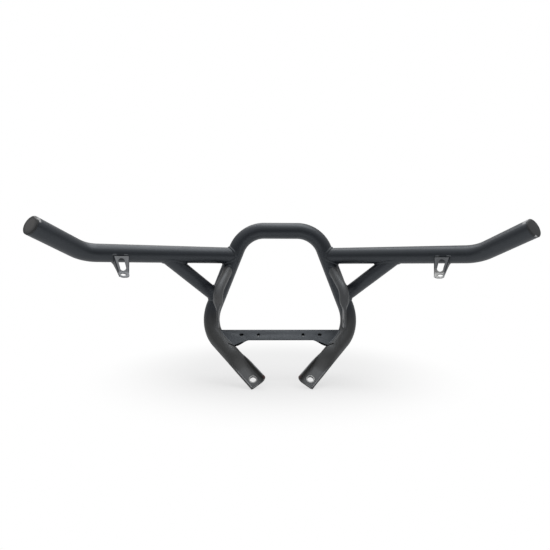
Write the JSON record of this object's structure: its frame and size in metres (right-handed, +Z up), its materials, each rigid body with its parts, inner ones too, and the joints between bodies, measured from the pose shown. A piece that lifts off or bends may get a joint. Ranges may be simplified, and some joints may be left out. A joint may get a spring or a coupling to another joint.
{
  "type": "atv front bumper",
  "caption": "Welded tube front bumper: a tall centre hoop with pressed feet, swept side wings with braces, rear mounting arms, a cross plate and wing brackets.",
  "frame": {"origin": "centre of the cross plate's rear face", "axes": "+X to the vehicle's right, +Y to its front, +Z up"},
  "size_m": [0.9568, 0.2919, 0.3731],
  "materials": {
    "black_powder_coat": "satin black powder coat, worn at the edges",
    "grey_powder_coat": "thin, dull dark grey coat",
    "black_plastic": "moulded, slightly scuffed"
  },
  "bodies": {
    "root": {"main_hoop": "black_powder_coat", "cross_plate": "black_powder_coat", "wing_tube_right": "black_powder_coat", "wing_tube_left": "black_powder_coat", "brace_tube_right": "black_powder_coat", "brace_tube_left": "black_powder_coat", "mounting_arm_right": "black_powder_coat", "mounting_arm_left": "black_powder_coat", "wing_bracket_right": "grey_powder_coat", "wing_bracket_left": "grey_powder_coat", "end_cap_right": "black_plastic", "end_cap_left": "black_plastic", "weld_wing_right": "black_powder_coat", "weld_wing_left": "black_powder_coat", "weld_brace_upper_right": "black_powder_coat", "weld_brace_upper_left": "black_powder_coat", "weld_brace_lower_right": "black_powder_coat", "weld_brace_lower_left": "black_powder_coat", "weld_arm_right": "black_powder_coat", "weld_arm_left": "black_powder_coat", "weld_plate_right": "black_powder_coat", "weld_plate_left": "black_powder_coat", "weld_bracket_inner_right": "grey_powder_coat", "weld_bracket_inner_left": "grey_powder_coat", "weld_bracket_outer_right": "grey_powder_coat", "weld_bracket_outer_left": "grey_powder_coat"}
  },
  "joints": []
}
